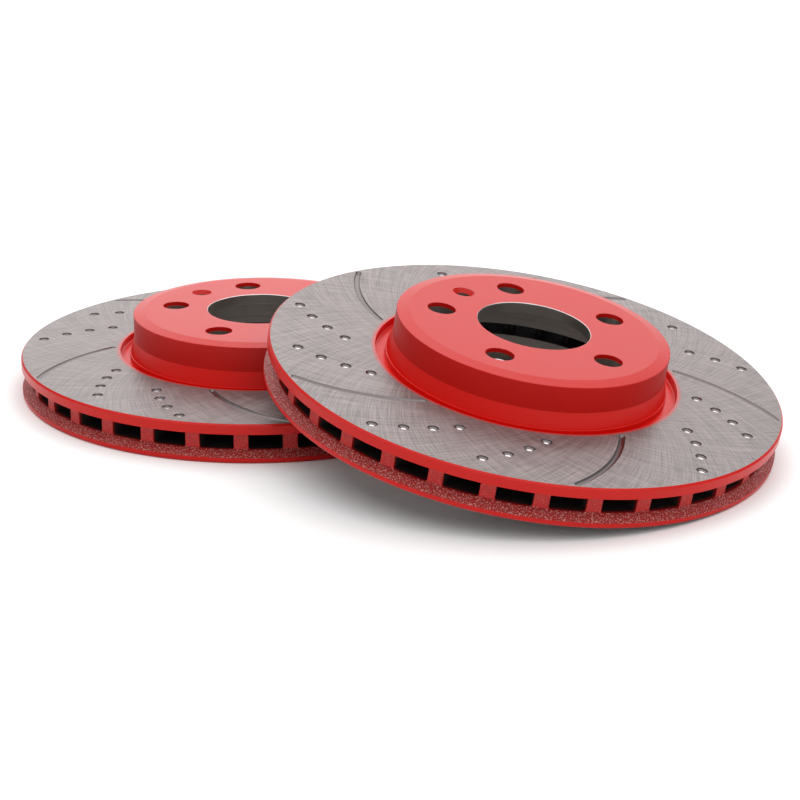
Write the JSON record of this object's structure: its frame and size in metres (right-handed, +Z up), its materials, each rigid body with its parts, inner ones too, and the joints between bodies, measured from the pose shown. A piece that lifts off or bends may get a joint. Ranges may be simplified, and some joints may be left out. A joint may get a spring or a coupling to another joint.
{
  "type": "vented brake disc pair",
  "caption": "Vented brake discs with red painted hats and rims and ground faces with swept slots and dimples, one lying flat and the other leaning on it.",
  "frame": {"origin": "on the floor under the middle of the pair's bounding box", "axes": "+X from the flat disc's axis to the leaning disc, +Z up, the flat disc's axis along Z"},
  "size_m": [0.5158, 0.312, 0.0905],
  "materials": {
    "red_paint": "satin red paint over grey cast iron, smooth on turned faces and grainy on as-cast ones",
    "ground_iron": "bare friction face with crossed grinding arcs, red painted edges"
  },
  "bodies": {
    "flat_disc": {"flat_hat": "red_paint", "flat_outboard_ring": "ground_iron", "flat_vaned_inboard_ring": "red_paint"},
    "leaning_disc": {"leaning_hat": "red_paint", "leaning_outboard_ring": "ground_iron", "leaning_vaned_inboard_ring": "red_paint"}
  },
  "joints": [
    {"name": "leaning_disc_lift", "type": "slide", "parent": "flat_disc", "child": "leaning_disc", "axis": [0, 0, 1], "range_m": [0, 0.09]}
  ]
}
